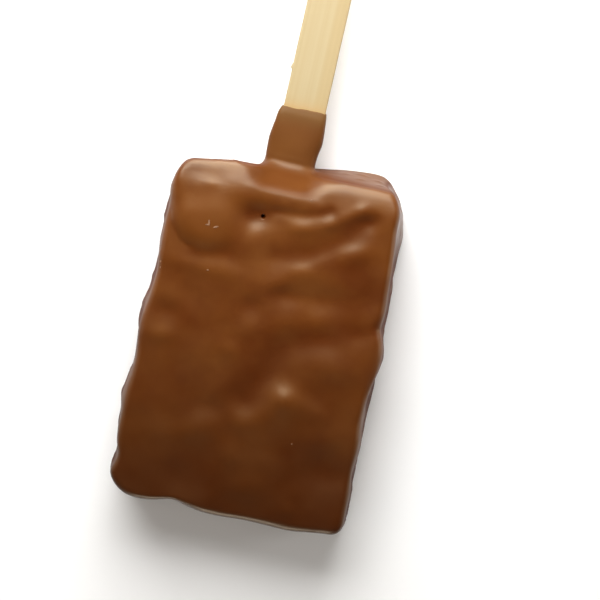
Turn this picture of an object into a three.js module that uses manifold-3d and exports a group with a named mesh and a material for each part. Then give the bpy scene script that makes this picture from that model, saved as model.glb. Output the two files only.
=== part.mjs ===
// A bar of crisped-rice treat dipped in milk chocolate, on a flat wooden stick.
// It lies on its flat back with the front face up. X runs across the bar, Y along it towards the
// stick's free end, and Z up through the thickness. The origin is the middle of the flat back.
// All sizes are in millimetres.
import * as THREE from "three";
import { mergeVertices } from "three/addons/utils/BufferGeometryUtils.js";
import Module from "manifold-3d";

// The coated bar. It was cut by hand, so it is a little wider at the bottom end, and the coating
// sank while it set, so the sides stand further out at the back than at the front face.
const BAR_LENGTH = 82.4;
const TOP_WIDTH = 53.6;
const BOTTOM_WIDTH = 57.4;
const BAR_THICKNESS = 21;
const CROWN = 0.7; // how far the middle of the front face stands above its edges
const CENTRE_DRIFT = 1.4; // how far the bottom end lies to the left of the top end
const BACK_EDGE_RADIUS = 2.4;
const FOOT_UNDERCUT = 1.5; // depth of the back edge's rounding that the flat back cuts away

// The front face's edge: rounder along the sides and the bottom than at the stick's end.
const FRONT_EDGE = { radius: 2, endRadius: 0.8, start: 34, end: 40 };

// The front face slopes off towards the stick's end, and more so where it runs down to the stick.
const SHOULDER = { drop: 2.6, start: 36, end: 50 };
const NECK = { drop: 5.5, start: 38.2, end: 43.8, middle: -1.2, reach: 6.8 };

// The four corners seen from the front: the radius of the front edge and of the back edge there,
// and how much further out the back edge is.
const CORNERS = {
  topLeft: { frontRadius: 3.6, backRadius: 3.6, sideFlare: 1.4, endFlare: -2.1 },
  topRight: { frontRadius: 4.2, backRadius: 9.5, sideFlare: 1.7, endFlare: 4.0 },
  bottomLeft: { frontRadius: 6.4, backRadius: 6.4, sideFlare: 0.8, endFlare: 0.8 },
  bottomRight: { frontRadius: 3.2, backRadius: 3.4, sideFlare: 0.7, endFlare: 0.8 },
};

// The stick, a common flat one with round ends, pushed in by hand and so a little askew.
const STICK_LENGTH = 114;
const STICK_WIDTH = 10;
const STICK_THICKNESS = 2;
const STICK_BEVEL = 0.25;
const STICK_INSERTED = 55;
const STICK_TILT = 2.1; // degrees, towards the right
const STICK_X = -0.4; // where its centre line crosses the bar's end
const STICK_Z = 10;
const STICK_GAP = 0.3; // between the wood and the slot that holds it
const STICK_SEGMENTS = 16; // of each round end

// The coating's sleeve up the stick, by the sleeve's half-sizes at a height above the bar's end.
// left and right are measured from the stick's centre line, front and back from its mid-plane.
// square is the exponent of the rounded section there: 2 is an ellipse, and more is squarer.
const SLEEVE_STATIONS = [
  { height: -5.0, left: 8.6, right: 8.0, front: 8.6, back: 6.6, square: 3.2 },
  { height: -0.6, left: 8.5, right: 7.6, front: 7.4, back: 5.6, square: 3.2 },
  { height: 0.5, left: 7.7, right: 6.6, front: 6.2, back: 4.2, square: 3.2 },
  { height: 1.8, left: 7.0, right: 5.8, front: 4.0, back: 3.0, square: 3.2 },
  { height: 3.2, left: 6.8, right: 5.65, front: 2.9, back: 2.6, square: 3.2 },
  { height: 5.5, left: 6.8, right: 5.65, front: 2.7, back: 2.4, square: 3.2 },
  { height: 9.5, left: 6.8, right: 5.9, front: 2.4, back: 2.2, square: 3.2 },
  { height: 12.8, left: 6.4, right: 5.9, front: 2.1, back: 2.0, square: 4 },
  { height: 15.4, left: 5.9, right: 5.7, front: 1.8, back: 1.8, square: 6 },
  { height: 16.2, left: 5.65, right: 5.65, front: 1.7, back: 1.7, square: 6 },
];
const SLEEVE_ROWS = 18;
const SLEEVE_SIDES = 36;

// The pinhole that an air bubble left in the front face.
const PINHOLE = { x: -4.6, y: 32.0, radius: 0.6, depth: 2.4, sides: 10 };

// The box that the bar is shaped from: how many squares it has each way, and how far they crowd
// towards the edges, where the surface turns.
const SQUARES_ACROSS = 40;
const SQUARES_ALONG = 60;
const SQUARES_DEEP = 9;
const CROWDING = 0.3;

// The lumps and hollows of the front face. long and wide are half-sizes, turn is the long side's
// angle from the X axis in degrees, rise is the height at the middle, and firm is how sharply the
// lump is bounded: 1 fades out softly, and more gives a flatter top and a steeper edge.
const FRONT_Z = BAR_THICKNESS - CROWN;
const FRONT_DEPTH = 5; // how far down the sides they fade out
const LUMPS = [
  // The pillow over the top left corner.
  { x: -17.4, y: 32.2, long: 9.5, wide: 10.8, turn: 0, rise: 1.2, firm: 3 },
  { x: -13.2, y: 31.5, long: 3.0, wide: 2.4, turn: 0, rise: 0.3, firm: 1 },
  // The pinhole's dimple, and the swell under it.
  { x: -6.0, y: 32.3, long: 3.6, wide: 2.4, turn: 0, rise: -1.0, firm: 1 },
  { x: -4.7, y: 31.9, long: 1.6, wide: 1.4, turn: 0, rise: -0.7, firm: 1 },
  { x: -5.6, y: 26.3, long: 4.2, wide: 2.8, turn: 10, rise: 0.6, firm: 1 },
  // The deep end of the slanting groove, by the top right corner.
  { x: 20.4, y: 35.7, long: 2.8, wide: 1.9, turn: 30, rise: -0.6, firm: 1 },
  // The middle of the face.
  { x: -3.2, y: 15.5, long: 4.2, wide: 2.2, turn: 0, rise: 0.4, firm: 1 },
  { x: 12.7, y: 10.7, long: 2.6, wide: 2.0, turn: 0, rise: 0.6, firm: 1 },
  { x: 6.6, y: 8.1, long: 3.6, wide: 2.5, turn: 14, rise: 0.6, firm: 1 },
  { x: -2.6, y: 4.9, long: 3.2, wide: 2.4, turn: 20, rise: 0.55, firm: 1 },
  { x: 17.0, y: 0.3, long: 8.4, wide: 3.4, turn: 0, rise: 0.5, firm: 1 },
  { x: -22.4, y: -0.3, long: 4.0, wide: 2.8, turn: 0, rise: 0.5, firm: 1 },
  { x: 27.2, y: 11.7, long: 2.6, wide: 2.6, turn: 0, rise: -1.0, firm: 1 },
  // The dome low on the right, and the lumps beside it.
  { x: 9.4, y: -14.1, long: 9.4, wide: 8.6, turn: 0, rise: 0.9, firm: 2 },
  { x: 8.0, y: -7.5, long: 2.6, wide: 1.8, turn: 0, rise: 0.5, firm: 1 },
  { x: -1.4, y: -16.3, long: 3.0, wide: 2.4, turn: 0, rise: 0.5, firm: 1 },
  { x: -9.2, y: -19.5, long: 3.6, wide: 2.6, turn: -10, rise: 0.5, firm: 1 },
  { x: -0.6, y: -25.5, long: 3.8, wide: 2.8, turn: 12, rise: 0.5, firm: 1 },
  { x: -19.0, y: -28.1, long: 5.0, wide: 3.4, turn: 20, rise: 0.4, firm: 1 },
  { x: 18.5, y: -30.1, long: 5.4, wide: 3.8, turn: -15, rise: 0.45, firm: 1 },
];

// The ridges and grooves of the front face, each along a smooth path, with half its width.
const RIDGES = [
  // The crease round the pillow, and the fold below it.
  {
    path: [[-26.4, 29.9], [-25.0, 26.0], [-21.6, 22.4], [-17.6, 21.4], [-13.6, 21.7]],
    reach: 1.2,
    rise: -0.8,
  },
  { path: [[-25.0, 18.1], [-17.0, 18.2], [-10.0, 17.7]], reach: 1.8, rise: 0.45 },
  // The lip along the stick's end, and the groove behind it.
  { path: [[-13.0, 36.8], [-4.0, 36.4], [4.0, 36.2], [9.0, 37.0], [13.0, 38.4]], reach: 2.0, rise: 0.25 },
  { path: [[-9.5, 33.9], [0.0, 34.3], [5.0, 34.2], [10.0, 35.6], [13.0, 37.4]], reach: 1.5, rise: -0.4 },
  // The slanting ridge, the deep groove under it and the broad fold that follows.
  { path: [[2.0, 30.6], [6.0, 31.1], [11.0, 33.0], [14.5, 35.4], [17.8, 37.6]], reach: 1.9, rise: 0.5 },
  { path: [[1.5, 24.4], [5.5, 25.0], [10.0, 27.3], [15.0, 30.6], [19.5, 34.2]], reach: 2.2, rise: -0.8 },
  { path: [[1.0, 19.9], [8.0, 21.3], [14.0, 25.1], [20.5, 28.9]], reach: 3.0, rise: 0.55 },
  // The shallow grooves in the middle.
  { path: [[1.0, 15.3], [8.0, 14.7], [15.0, 14.5]], reach: 1.9, rise: -0.45 },
  { path: [[-26.5, 4.9], [-23.0, 4.7], [-19.0, 4.3]], reach: 1.8, rise: -0.45 },
  { path: [[3.0, 3.3], [7.5, 4.1], [12.0, 5.5]], reach: 1.7, rise: -0.4 },
  // The groove over the dome, bent like a shallow roof.
  { path: [[-1.5, -11.7], [3.0, -7.5], [8.0, -3.9], [13.0, -5.3], [19.5, -8.1]], reach: 1.5, rise: -0.55 },
];
const RIDGE_STEPS = 24;

// The waves in the bar's outline, by the side they are on, the place along that side, their
// height, half their length and how far they stand out. Those at z 20 move the front edge most.
const EDGE_DEPTH = 9; // half their size through the thickness
const WAVES = [
  { side: "left", along: 33.0, z: 15, reach: 10.0, rise: 0.4 },
  { side: "left", along: 14.9, z: 15, reach: 5.0, rise: -0.4 },
  { side: "left", along: 0.9, z: 15, reach: 6.4, rise: 1.2 },
  { side: "left", along: -15.6, z: 15, reach: 5.6, rise: 0.9 },
  { side: "left", along: -24.5, z: 15, reach: 5.5, rise: 0.9 },
  { side: "left", along: -31.0, z: 15, reach: 2.4, rise: -0.5 },
  { side: "left", along: -35.4, z: 15, reach: 2.6, rise: 0.8 },
  { side: "right", along: 3.0, z: 15, reach: 6.0, rise: 1.6 },
  { side: "right", along: -11.0, z: 15, reach: 5.0, rise: -0.7 },
  { side: "right", along: -23.1, z: 15, reach: 3.6, rise: -0.3 },
  { side: "right", along: 38.0, z: 20, reach: 9.0, rise: -0.6 },
  { side: "bottom", along: -26.0, z: 15, reach: 4.0, rise: -0.7 },
  { side: "bottom", along: -12.8, z: 15, reach: 4.4, rise: -1.8 },
  { side: "bottom", along: -1.0, z: 15, reach: 5.0, rise: 0.7 },
  { side: "bottom", along: 14.0, z: 15, reach: 7.0, rise: 0.9 },
  { side: "top", along: 11.0, z: 8, reach: 12.0, rise: 1.1 },
  { side: "top", along: 0.0, z: 20, reach: 34.0, rise: 1.9 },
  { side: "top", along: -13.0, z: 20, reach: 8.0, rise: 0.9 },
  { side: "top", along: 24.0, z: 20, reach: 8.0, rise: 0.6 },
  // The worn corner at the back.
  { side: "top", along: 28.0, z: 6, reach: 7.0, rise: -2.2 },
  { side: "right", along: 39.0, z: 6, reach: 7.0, rise: -2.4 },
];

// The crisps that show through the coating everywhere, as soft lumps and pits.
const CRISPS = 210;
const CRISP_REACH = [2.4, 4.4];
const CRISP_SLIMNESS = [0.6, 0.9]; // short half-size over long
const CRISP_RISE = [-0.4, 0.5];
const CRISP_MARGIN = 2; // how near the front and the back they come on the sides
const CRISP_SEED = 11;

const wasm = await Module();
wasm.setup();

function seededRandom(seed) {
  let state = seed >>> 0;
  return () => {
    state = (Math.imul(state, 1664525) + 1013904223) >>> 0;
    return state / 4294967296;
  };
}

// A closed three.js geometry as a solid, with its shared corners merged.
function solidFrom(geometry) {
  const bare = geometry.clone();
  for (const name of Object.keys(bare.attributes)) {
    if (name !== "position") bare.deleteAttribute(name);
  }
  const merged = mergeVertices(bare, 1e-4);
  const mesh = new wasm.Mesh({
    numProp: 3,
    vertProperties: new Float32Array(merged.attributes.position.array),
    triVerts: new Uint32Array(merged.index.array),
  });
  return new wasm.Manifold(mesh);
}

function geometryFrom(solid) {
  const mesh = solid.getMesh();
  const position = new Float32Array(mesh.numVert * 3);
  for (let i = 0; i < mesh.numVert; i++) {
    position.set(mesh.vertProperties.subarray(i * mesh.numProp, i * mesh.numProp + 3), i * 3);
  }
  const geometry = new THREE.BufferGeometry();
  geometry.setAttribute("position", new THREE.BufferAttribute(position, 3));
  geometry.setIndex(new THREE.BufferAttribute(new Uint32Array(mesh.triVerts), 1));
  geometry.computeVertexNormals();
  return geometry;
}

// Moves every vertex of a geometry to where place(vertex) says.
function reshape(geometry, place) {
  const position = geometry.attributes.position;
  const vertex = new THREE.Vector3();
  for (let i = 0; i < position.count; i++) {
    vertex.fromBufferAttribute(position, i);
    place(vertex);
    position.setXYZ(i, vertex.x, vertex.y, vertex.z);
  }
  return geometry;
}

// Half the front face's width at a height y.
function halfWidthAt(y) {
  const share = THREE.MathUtils.clamp(y / BAR_LENGTH + 0.5, 0, 1);
  return THREE.MathUtils.lerp(BOTTOM_WIDTH, TOP_WIDTH, share) / 2;
}

// One lump or hollow as a function of a point: rise at its middle, fading out in all directions.
function swell({ x, y, z, long, wide, deep, turn, rise, firm = 1 }) {
  const angle = THREE.MathUtils.degToRad(turn);
  const cos = Math.cos(angle);
  const sin = Math.sin(angle);
  return (p) => {
    const dx = p.x - x;
    const dy = p.y - y;
    const a = (dx * cos + dy * sin) / long;
    const b = (dy * cos - dx * sin) / wide;
    const c = (p.z - z) / deep;
    return rise * Math.exp(-((a * a + b * b + c * c) ** firm));
  };
}

function frontLump(lump) {
  return swell({ ...lump, z: FRONT_Z, deep: FRONT_DEPTH });
}

// One ridge or groove: the same, by the distance from its path.
function frontRidge({ path, reach, rise }) {
  const curve = new THREE.SplineCurve(path.map(([x, y]) => new THREE.Vector2(x, y)));
  const points = curve.getSpacedPoints(RIDGE_STEPS);
  return (p) => {
    const near = Math.min(...points.map((q) => (p.x - q.x) ** 2 + (p.y - q.y) ** 2)) / reach ** 2;
    const c = (p.z - FRONT_Z) / FRONT_DEPTH;
    return rise * Math.exp(-(near + c * c));
  };
}

// A place on one of the four sides, by the distance along it and the height.
const SIDES = {
  left: (along, z) => ({ x: -halfWidthAt(along), y: along, z }),
  right: (along, z) => ({ x: halfWidthAt(along), y: along, z }),
  bottom: (along, z) => ({ x: along, y: -BAR_LENGTH / 2, z }),
  top: (along, z) => ({ x: along, y: BAR_LENGTH / 2, z }),
};

function edgeWave({ side, along, z, reach, rise }) {
  return swell({ ...SIDES[side](along, z), long: reach, wide: reach, deep: EDGE_DEPTH, turn: 0, rise });
}

// Crisps are spread by area over the front face and the four sides.
function crispSwells() {
  const random = seededRandom(CRISP_SEED);
  const between = (low, high) => low + (high - low) * random();
  const halfLength = BAR_LENGTH / 2;
  const halfWidth = (TOP_WIDTH + BOTTOM_WIDTH) / 4;
  const height = () => between(CRISP_MARGIN, FRONT_Z - CRISP_MARGIN);
  const faces = [
    {
      area: 4 * halfWidth * halfLength,
      place: () => ({ x: between(-halfWidth, halfWidth), y: between(-halfLength, halfLength), z: FRONT_Z }),
    },
    ...["left", "right"].map((side) => ({
      area: 2 * halfLength * BAR_THICKNESS,
      place: () => SIDES[side](between(-halfLength, halfLength), height()),
    })),
    ...["bottom", "top"].map((side) => ({
      area: 2 * halfWidth * BAR_THICKNESS,
      place: () => SIDES[side](between(-halfWidth, halfWidth), height()),
    })),
  ];
  const wholeArea = faces.reduce((sum, face) => sum + face.area, 0);
  return faces.flatMap(({ area, place }) =>
    Array.from({ length: Math.round((CRISPS * area) / wholeArea) }, () => {
      const reach = between(...CRISP_REACH);
      const wide = reach * between(...CRISP_SLIMNESS);
      return swell({
        ...place(),
        long: reach,
        wide,
        deep: reach,
        turn: between(0, 180),
        rise: between(...CRISP_RISE),
      });
    }),
  );
}

const forms = [...LUMPS.map(frontLump), ...RIDGES.map(frontRidge), ...crispSwells()];
const sideWaves = WAVES.filter(({ side }) => side === "left" || side === "right").map(edgeWave);
const endWaves = WAVES.filter(({ side }) => side === "bottom" || side === "top").map(edgeWave);

function heightOf(swells, point) {
  return swells.reduce((sum, form) => sum + form(point), 0);
}

// Crowds evenly spaced places, from -1 to 1, towards both ends.
function crowd(t) {
  return (1 - CROWDING) * t + CROWDING * Math.sin((t * Math.PI) / 2);
}

// One of the corners' sizes at a place on the bar, blended between the four. across and up run
// from -1 to 1.
function cornerSize(name, across, up) {
  const { lerp } = THREE.MathUtils;
  const right = (across + 1) / 2;
  const bottom = lerp(CORNERS.bottomLeft[name], CORNERS.bottomRight[name], right);
  const top = lerp(CORNERS.topLeft[name], CORNERS.topRight[name], right);
  return lerp(bottom, top, (up + 1) / 2);
}

// How far the front face has dropped at a point near the stick's end.
function frontDrop({ x, y }) {
  const { smoothstep } = THREE.MathUtils;
  const byNeck = Math.exp(-(((x - NECK.middle) / NECK.reach) ** 4));
  const shoulder = SHOULDER.drop * smoothstep(y, SHOULDER.start, SHOULDER.end);
  return shoulder + NECK.drop * byNeck * smoothstep(y, NECK.start, NECK.end);
}

// Turns a point of the cube from -1 to 1 into a point of the bar.
function shapeBar(point) {
  const { clamp, lerp, smoothstep } = THREE.MathUtils;
  const halfLength = BAR_LENGTH / 2;
  const deepest = -FOOT_UNDERCUT;
  const y = crowd(point.y) * halfLength;
  const half = halfWidthAt(y);
  const x = crowd(point.x) * half;
  const z = lerp(deepest, FRONT_Z, (crowd(point.z) + 1) / 2);

  // The rounded corners of its outline.
  const radius = lerp(
    cornerSize("backRadius", x / half, y / halfLength),
    cornerSize("frontRadius", x / half, y / halfLength),
    (z - deepest) / (FRONT_Z - deepest),
  );
  const dx = x - clamp(x, radius - half, half - radius);
  const dy = y - clamp(y, radius - halfLength, halfLength - radius);
  const reach = Math.max(Math.abs(dx), Math.abs(dy));
  const away = new THREE.Vector2(dx, dy).normalize();

  // The rounded front and back edges.
  const nearEnd = smoothstep(y, FRONT_EDGE.start, FRONT_EDGE.end);
  const frontRadius = lerp(FRONT_EDGE.radius, FRONT_EDGE.endRadius, nearEnd);
  const out = Math.max(reach - radius + (z > FRONT_Z / 2 ? frontRadius : BACK_EDGE_RADIUS), 0);
  const above = Math.max(z - FRONT_Z + frontRadius, 0);
  const over = above - Math.max(deepest + BACK_EDGE_RADIUS - z, 0);
  const fit = Math.max(out, Math.abs(over)) / (Math.hypot(out, over) || 1);
  const far = reach + out * (fit - 1);
  point.set(x - dx + away.x * far, y - dy + away.y * far, z + over * (fit - 1));

  // The waves of the outline, sideways or endways, and the relief, along the surface's normal. The
  // back is cut flat afterwards.
  const outwards = new THREE.Vector3(away.x * out, away.y * out, over).normalize();
  const relief = heightOf(forms, point);
  const sideways = (away.x * heightOf(sideWaves, point) * reach) / radius;
  const endways = (away.y * heightOf(endWaves, point) * reach) / radius;
  point.x += sideways;
  point.y += endways;
  const across = point.x / half;
  const up = point.y / halfLength;
  const sunk = 1 - clamp(point.z / FRONT_Z, 0, 1);
  point.z += CROWN * (1 - sunk) * (1 - across * across) * (1 - up * up);
  point.z -= frontDrop(point) * (1 - sunk);
  point.addScaledVector(outwards, relief);

  // The flare towards the back and the drift of the centre line.
  point.x += across * cornerSize("sideFlare", across, up) * sunk + (CENTRE_DRIFT * up) / 2;
  point.y += up * cornerSize("endFlare", across, up) * sunk;
}

function plainBar() {
  const cube = new THREE.BoxGeometry(2, 2, 2, SQUARES_ACROSS, SQUARES_ALONG, SQUARES_DEEP);
  return solidFrom(reshape(cube, shapeBar));
}

// A block below the level of the back, which cuts it flat.
function belowBack() {
  const block = new THREE.BoxGeometry(2 * BOTTOM_WIDTH, 2 * BAR_LENGTH, BAR_THICKNESS);
  block.translate(0, 0, -BAR_THICKNESS / 2);
  return solidFrom(block);
}

// Places geometry that was made along the stick: its Y axis on the stick's centre line, y = 0
// where that line crosses the bar's end, and z = 0 on the stick's mid-plane.
function alongStick(geometry) {
  return geometry
    .rotateZ(THREE.MathUtils.degToRad(-STICK_TILT))
    .translate(STICK_X, BAR_LENGTH / 2, STICK_Z);
}

// The sleeve's section at a share of its length, on smooth curves through its stations.
function sleeveSizes() {
  const curves = ["left", "right", "front", "back", "square"].map(
    (size) => new THREE.SplineCurve(SLEEVE_STATIONS.map((s) => new THREE.Vector2(s.height, s[size]))),
  );
  return (share) => {
    const [left, right, front, back, square] = curves.map((curve) => curve.getPoint(share).y);
    return { height: curves[0].getPoint(share).x, left, right, front, back, square };
  };
}

// The sleeve is a cylinder whose rings are reshaped into rounded rectangles.
function sleeve() {
  const sizesAt = sleeveSizes();
  const tube = new THREE.CylinderGeometry(1, 1, 1, SLEEVE_SIDES, SLEEVE_ROWS);
  reshape(tube, (point) => {
    const { height, left, right, front, back, square } = sizesAt(point.y + 0.5);
    const sideways = Math.sign(point.x) * Math.abs(point.x) ** (2 / square);
    const forwards = Math.sign(point.z) * Math.abs(point.z) ** (2 / square);
    point.x = sideways * (sideways > 0 ? right : left);
    point.z = forwards * (forwards > 0 ? front : back);
    point.y = height;
  });
  return solidFrom(alongStick(tube));
}

// The stick's outline, grown by a margin: two straight sides and two round ends.
function stickOutline(margin) {
  const radius = STICK_WIDTH / 2 + margin;
  const low = -STICK_INSERTED + STICK_WIDTH / 2;
  const high = STICK_LENGTH - STICK_INSERTED - STICK_WIDTH / 2;
  const outline = new THREE.Shape();
  outline.absarc(0, high, radius, 0, Math.PI, false);
  outline.absarc(0, low, radius, Math.PI, 2 * Math.PI, false);
  return outline;
}

function stickGeometry() {
  const flat = STICK_THICKNESS - 2 * STICK_BEVEL;
  const geometry = new THREE.ExtrudeGeometry(stickOutline(-STICK_BEVEL), {
    depth: flat,
    curveSegments: STICK_SEGMENTS,
    bevelThickness: STICK_BEVEL,
    bevelSize: STICK_BEVEL,
    bevelSegments: 1,
  });
  return alongStick(geometry.translate(0, 0, -flat / 2));
}

function stickSlot() {
  const depth = STICK_THICKNESS + 2 * STICK_GAP;
  const geometry = new THREE.ExtrudeGeometry(stickOutline(STICK_GAP), {
    depth,
    curveSegments: STICK_SEGMENTS,
    bevelEnabled: false,
  });
  return solidFrom(alongStick(geometry.translate(0, 0, -depth / 2)));
}

// A narrow cone, point down, that leaves the pinhole.
function pinhole() {
  const { x, y, radius, depth, sides } = PINHOLE;
  const cone = new THREE.ConeGeometry(radius, depth, sides);
  cone.rotateX(-Math.PI / 2);
  cone.translate(x, y, FRONT_Z - depth / 2);
  return solidFrom(cone);
}

function coatedBar() {
  return plainBar().add(sleeve()).subtract(belowBack()).subtract(stickSlot()).subtract(pinhole());
}

const milkChocolate = new THREE.MeshStandardMaterial({
  name: "milk_chocolate",
  color: 0x6b3a1b,
  roughness: 0.4,
  metalness: 0,
});
const paleWood = new THREE.MeshStandardMaterial({
  name: "pale_wood",
  color: 0xe6cfa0,
  roughness: 0.75,
  metalness: 0,
});

function namedMesh(name, geometry, material) {
  const mesh = new THREE.Mesh(geometry, material);
  mesh.name = name;
  return mesh;
}

const pop = new THREE.Group();
pop.add(namedMesh("coated_bar", geometryFrom(coatedBar()), milkChocolate));
pop.add(namedMesh("stick", stickGeometry(), paleWood));

export default pop;
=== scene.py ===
"""A crisped rice bar dipped in milk chocolate, on a flat wooden stick.

The pop lies on its flat back with its front face up: X runs across the bar, Y along it towards the
stick's free end, and Z up out of the front face. Shapes are worked out in millimetres and written
to their meshes in metres.
"""

import logging
import math
from dataclasses import dataclass, field
from enum import Enum
from typing import Protocol

import bmesh
import bpy
import numpy as np
from bmesh.types import BMesh
from bpy.types import Material, Mesh, Node, NodeTree, Object
from bpy.types import NodeSocket as Socket
from mathutils import Matrix, Vector, noise
from mathutils.bvhtree import BVHTree


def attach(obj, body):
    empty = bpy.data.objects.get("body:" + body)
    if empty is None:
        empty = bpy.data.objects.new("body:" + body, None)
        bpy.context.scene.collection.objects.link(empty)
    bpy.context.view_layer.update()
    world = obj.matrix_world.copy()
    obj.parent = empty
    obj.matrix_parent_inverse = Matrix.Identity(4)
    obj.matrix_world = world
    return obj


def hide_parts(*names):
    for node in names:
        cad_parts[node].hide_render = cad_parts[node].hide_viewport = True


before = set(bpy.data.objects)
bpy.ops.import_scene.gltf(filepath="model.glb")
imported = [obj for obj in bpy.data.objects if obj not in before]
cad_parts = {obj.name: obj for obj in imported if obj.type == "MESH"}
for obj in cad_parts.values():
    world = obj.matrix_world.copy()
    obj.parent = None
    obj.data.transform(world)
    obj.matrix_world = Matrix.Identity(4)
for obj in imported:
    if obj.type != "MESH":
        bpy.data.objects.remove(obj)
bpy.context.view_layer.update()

LOG = logging.getLogger("treat_pop")

# A millimetre in metres, the whole range of a share, and the least length that is divided by.
MM = 0.001
WHOLE = (0.0, 1.0)
TINY = 1e-9

Array = np.ndarray
Colour = tuple[float, float, float, float]
Triple = tuple[float, float, float]
Span = tuple[float, float]
Inputs = dict[str | int, object]

# The bar, as its solid has it.
BAR_LENGTH = 82.4
BAR_END = BAR_LENGTH / 2
BAR_THICKNESS = 21.0
CROWN = 0.7
FRONT_Z = BAR_THICKNESS - CROWN
FRONT_DEPTH = 5.0

# The stick, and where its centre line crosses the bar's end.
STICK_LENGTH = 114.0
STICK_WIDTH = 10.0
STICK_THICKNESS = 2.0
STICK_INSERTED = 55.0
STICK_TILT = math.radians(2.1)
STICK_ORIGIN = (-0.4, BAR_END, 10.0)
STICK_TURN = np.array(
    [
        [math.cos(STICK_TILT), math.sin(STICK_TILT), 0.0],
        [-math.sin(STICK_TILT), math.cos(STICK_TILT), 0.0],
        [0.0, 0.0, 1.0],
    ]
)


class Wiring:
    """Adds nodes to a tree and links them, so that a tree reads from top to bottom."""

    def __init__(self, tree: NodeTree) -> None:
        """Keeps the tree that the nodes go into."""
        self.tree = tree

    def feed(self, node: Node, inputs: Inputs) -> None:
        """Links outputs to a node's inputs, and sets the inputs that get a plain value.

        Args:
            node: The node.
            inputs: Values or other nodes' output sockets, by input name or number.
        """
        for socket, value in inputs.items():
            if isinstance(value, Socket):
                self.tree.links.new(value, node.inputs[socket])
            else:
                node.inputs[socket].default_value = value

    def node(self, kind: str, inputs: Inputs | None = None, **settings: object) -> Node:
        """Adds one node.

        Args:
            kind: The node's type name.
            inputs: Values or other nodes' output sockets, by input name or number.
            **settings: The node's own options.

        Returns:
            The new node.
        """
        made = self.tree.nodes.new(kind)
        for option, value in settings.items():
            setattr(made, option, value)
        self.feed(made, inputs or {})
        return made

    def axis(self, place: Socket, name: str) -> Socket:
        """One of a place's coordinates, by its letter."""
        return self.node("ShaderNodeSeparateXYZ", {0: place}).outputs[name]

    def noise(self, place: Socket, scale: float, detail: float) -> Socket:
        """A soft noise between 0 and 1 at a place, with its scale per metre."""
        made = self.node("ShaderNodeTexNoise", {"Vector": place, "Scale": scale, "Detail": detail})
        return made.outputs["Fac"]

    def spread(self, value: Socket, source: Span, target: Span) -> Socket:
        """Maps the source range of a value onto the target range and clamps it."""
        limits = {"From Min": source[0], "From Max": source[1], "To Min": target[0], "To Max": target[1]}
        return self.node("ShaderNodeMapRange", {"Value": value, **limits}).outputs["Result"]

    def blend(self, share: Socket, low: Colour | Socket, high: Colour) -> Socket:
        """Mixes two colours, by how much of the second one shows."""
        return self.node("ShaderNodeMix", {0: share, 6: low, 7: high}, data_type="RGBA").outputs[2]


class Surface(Wiring):
    """A new material and the wiring of its tree."""

    def __init__(self, name: str) -> None:
        """Starts the material.

        Args:
            name: The material's name.
        """
        self.material = bpy.data.materials.new(name)
        self.material.use_nodes = True
        super().__init__(self.material.node_tree)
        self.place = self.node("ShaderNodeTexCoord").outputs["Object"]

    def stored(self, name: str) -> Socket:
        """A number that the mesh stores for each of its corners."""
        made = self.node("ShaderNodeAttribute", attribute_name=name, attribute_type="GEOMETRY")
        return made.outputs["Fac"]

    def moved(self, place: Socket, **change: object) -> Socket:
        """A place after a change of Location, Rotation or Scale."""
        made = self.node("ShaderNodeMapping", {"Vector": place, **change}, vector_type="POINT")
        return made.outputs["Vector"]

    def bumped(self, height: Socket, rise: float) -> Socket:
        """The normals of a surface that a height from 0 to 1 lifts by up to a rise in millimetres."""
        made = self.node("ShaderNodeBump", {"Height": height, "Strength": 1.0, "Distance": rise * MM})
        return made.outputs["Normal"]

    def added(self, first: Socket, second: Socket) -> Socket:
        """The sum of two values."""
        return self.node("ShaderNodeMath", {0: first, 1: second}, operation="ADD").outputs[0]

    def finished(self, inputs: Inputs) -> Material:
        """Feeds the Principled shader and gives back the material."""
        self.feed(self.tree.nodes["Principled BSDF"], inputs)
        return self.material


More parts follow.
